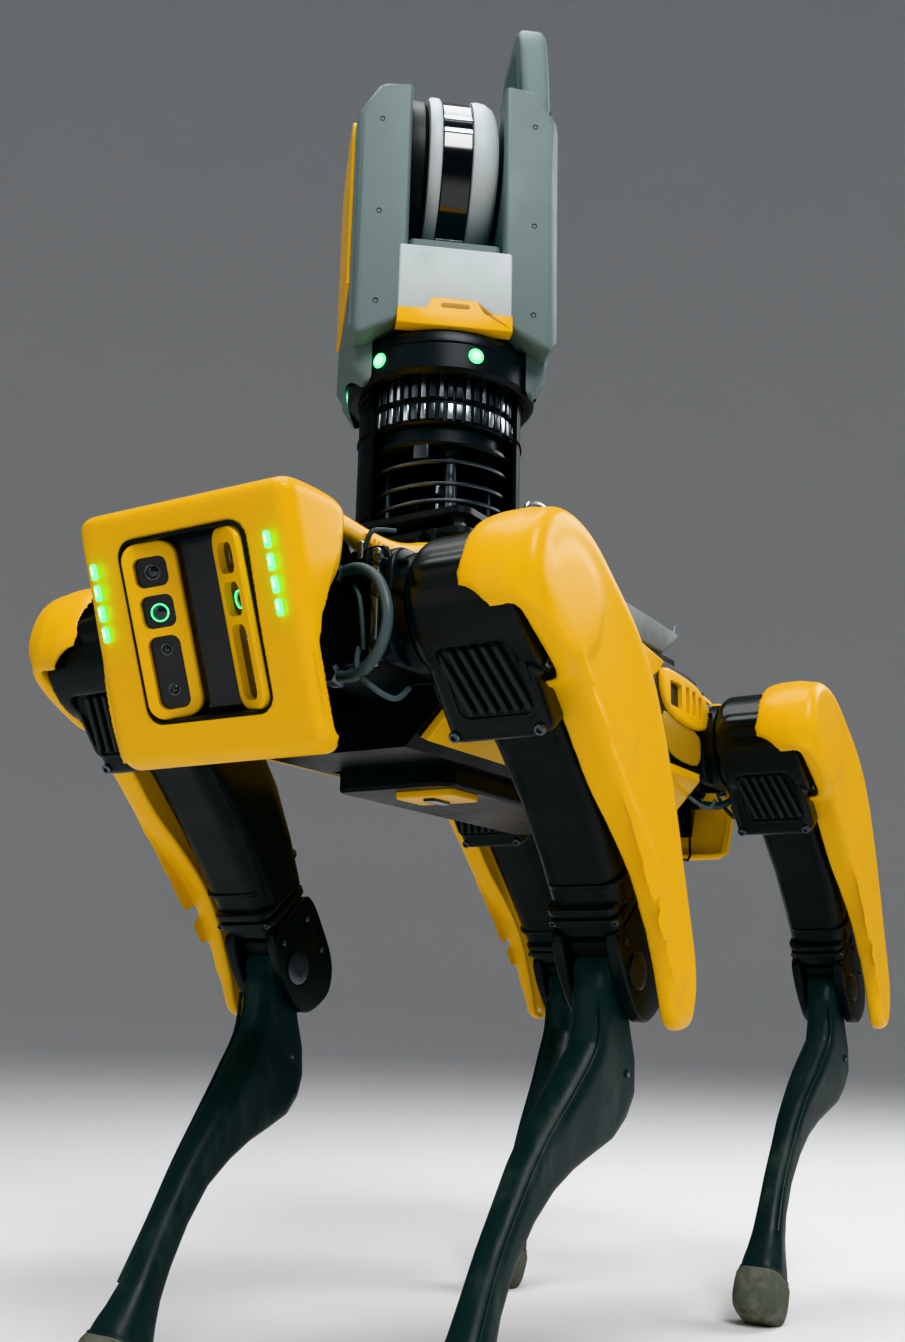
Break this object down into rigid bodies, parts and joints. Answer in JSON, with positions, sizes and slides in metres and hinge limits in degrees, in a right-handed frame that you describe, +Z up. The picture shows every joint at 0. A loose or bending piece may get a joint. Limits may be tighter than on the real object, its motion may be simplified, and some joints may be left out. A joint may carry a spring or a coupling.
{
  "type": "quadruped robot dog",
  "caption": "Walking inspection robot with yellow shells and articulated legs, carrying a panning laser scanner on a quick-release mast.",
  "frame": {"origin": "on the floor under the middle of the bounding box", "axes": "+X forward, +Y to the robot's left, +Z up"},
  "size_m": [0.9758, 0.4878, 1.2486],
  "materials": {
    "yellow": "satin",
    "black_shell": "satin",
    "gloss_black": "gloss",
    "motor_black": "satin",
    "leg_black": "satin",
    "shin_black": "scuffed satin",
    "foot_rubber": "dusty",
    "black_metal": "satin",
    "dark_steel": "blackened",
    "cable_grey": "smooth",
    "lens_glass": "polished",
    "green_light": "lit",
    "scanner_grey": "satin",
    "panel_grey": "satin",
    "dark_glass": "polished",
    "wedge_grey": "satin"
  },
  "bodies": {
    "root": {"chassis_frame": "black_shell", "abduction_motors": "motor_black", "front_cover": "yellow", "rear_cover": "yellow", "top_cover": "yellow", "side_panels": "gloss_black", "lower_trim": "yellow", "vent_grilles": "yellow", "battery_pack": "black_shell", "sensor_module": "gloss_black", "sensor_bezels": "yellow", "camera_lenses": "lens_glass", "status_lights": "green_light", "hip_cables": "cable_grey", "payload_rails": "black_metal", "mount_plates": "black_metal", "mount_posts": "black_metal", "wire_coil": "dark_steel", "mount_guard": "black_shell", "mount_neck": "black_metal", "payload_computer": "black_shell", "payload_wedge": "wedge_grey", "scanner_base_ring": "black_shell"},
    "power_button": {"power_button": "motor_black"},
    "locking_collar": {"locking_collar": "dark_steel"},
    "scanner_head": {"scanner_chassis": "scanner_grey", "scanner_left_tower": "scanner_grey", "scanner_right_tower": "scanner_grey", "scanner_front_panel": "panel_grey", "scanner_trim": "yellow"},
    "mirror": {"mirror_drum": "panel_grey", "mirror_window": "dark_glass"},
    "front_left_hip": {"front_left_hip_link": "motor_black", "front_left_hip_motor": "motor_black"},
    "front_left_thigh": {"front_left_thigh_frame": "leg_black", "front_left_thigh_shell": "yellow", "front_left_knee_drive": "dark_steel"},
    "front_left_shin": {"front_left_shin": "shin_black", "front_left_foot": "foot_rubber"},
    "front_right_hip": {"front_right_hip_link": "motor_black", "front_right_hip_motor": "motor_black"},
    "front_right_thigh": {"front_right_thigh_frame": "leg_black", "front_right_thigh_shell": "yellow", "front_right_knee_drive": "dark_steel"},
    "front_right_shin": {"front_right_shin": "shin_black", "front_right_foot": "foot_rubber"},
    "rear_left_hip": {"rear_left_hip_link": "motor_black", "rear_left_hip_motor": "motor_black"},
    "rear_left_thigh": {"rear_left_thigh_frame": "leg_black", "rear_left_thigh_shell": "yellow", "rear_left_knee_drive": "dark_steel"},
    "rear_left_shin": {"rear_left_shin": "shin_black", "rear_left_foot": "foot_rubber"},
    "rear_right_hip": {"rear_right_hip_link": "motor_black", "rear_right_hip_motor": "motor_black"},
    "rear_right_thigh": {"rear_right_thigh_frame": "leg_black", "rear_right_thigh_shell": "yellow", "rear_right_knee_drive": "dark_steel"},
    "rear_right_shin": {"rear_right_shin": "shin_black", "rear_right_foot": "foot_rubber"}
  },
  "joints": [
    {"name": "front_left_abduct", "type": "hinge", "parent": "root", "child": "front_left_hip", "pos_m": [0.35934, 0.055, 0.5806], "axis": [1, 0, 0], "range_deg": [-10, 28]},
    {"name": "front_left_hip_swing", "type": "hinge", "parent": "front_left_hip", "child": "front_left_thigh", "pos_m": [0.35934, 0.16595, 0.5806], "axis": [0, -1, 0], "range_deg": [-75, 90]},
    {"name": "front_left_knee_bend", "type": "hinge", "parent": "front_left_thigh", "child": "front_left_shin", "pos_m": [0.15982, 0.16595, 0.32977], "axis": [0, 1, 0], "range_deg": [-89.9, 55.5]},
    {"name": "front_right_abduct", "type": "hinge", "parent": "root", "child": "front_right_hip", "pos_m": [0.35934, -0.055, 0.5806], "axis": [-1, 0, 0], "range_deg": [-10, 28]},
    {"name": "front_right_hip_swing", "type": "hinge", "parent": "front_right_hip", "child": "front_right_thigh", "pos_m": [0.35934, -0.16595, 0.5806], "axis": [0, -1, 0], "range_deg": [-75, 90]},
    {"name": "front_right_knee_bend", "type": "hinge", "parent": "front_right_thigh", "child": "front_right_shin", "pos_m": [0.15982, -0.16595, 0.32977], "axis": [0, 1, 0], "range_deg": [-89.9, 55.5]},
    {"name": "rear_left_abduct", "type": "hinge", "parent": "root", "child": "rear_left_hip", "pos_m": [-0.23636, 0.055, 0.5806], "axis": [1, 0, 0], "range_deg": [-10, 28]},
    {"name": "rear_left_hip_swing", "type": "hinge", "parent": "rear_left_hip", "child": "rear_left_thigh", "pos_m": [-0.23636, 0.16595, 0.5806], "axis": [0, -1, 0], "range_deg": [-93, 38.5]},
    {"name": "rear_left_knee_bend", "type": "hinge", "parent": "rear_left_thigh", "child": "rear_left_shin", "pos_m": [-0.43588, 0.16595, 0.32977], "axis": [0, 1, 0], "range_deg": [-89.9, 55.5]},
    {"name": "rear_right_abduct", "type": "hinge", "parent": "root", "child": "rear_right_hip", "pos_m": [-0.23636, -0.055, 0.5806], "axis": [-1, 0, 0], "range_deg": [-10, 28]},
    {"name": "rear_right_hip_swing", "type": "hinge", "parent": "rear_right_hip", "child": "rear_right_thigh", "pos_m": [-0.23636, -0.16595, 0.5806], "axis": [0, -1, 0], "range_deg": [-93, 38.5]},
    {"name": "rear_right_knee_bend", "type": "hinge", "parent": "rear_right_thigh", "child": "rear_right_shin", "pos_m": [-0.43588, -0.16595, 0.32977], "axis": [0, 1, 0], "range_deg": [-89.9, 55.5]},
    {"name": "scanner_pan", "type": "hinge", "parent": "root", "child": "scanner_head", "pos_m": [0.16049, 0, 0.9106], "axis": [0, 0, 1], "continuous": true},
    {"name": "mirror_spin", "type": "hinge", "parent": "scanner_head", "child": "mirror", "pos_m": [0.16049, 0, 1.0826], "axis": [-0.6428, 0.766, 0], "continuous": true},
    {"name": "collar_turn", "type": "hinge", "parent": "root", "child": "locking_collar", "pos_m": [0.16049, 0, 0.8286], "axis": [0, 0, 1], "range_deg": [0, 60]},
    {"name": "power_press", "type": "slide", "parent": "root", "child": "power_button", "axis": [0.9304, 0, 0.3665], "range_m": [0, 0.002], "stiffness_N_per_m": 800}
  ]
}
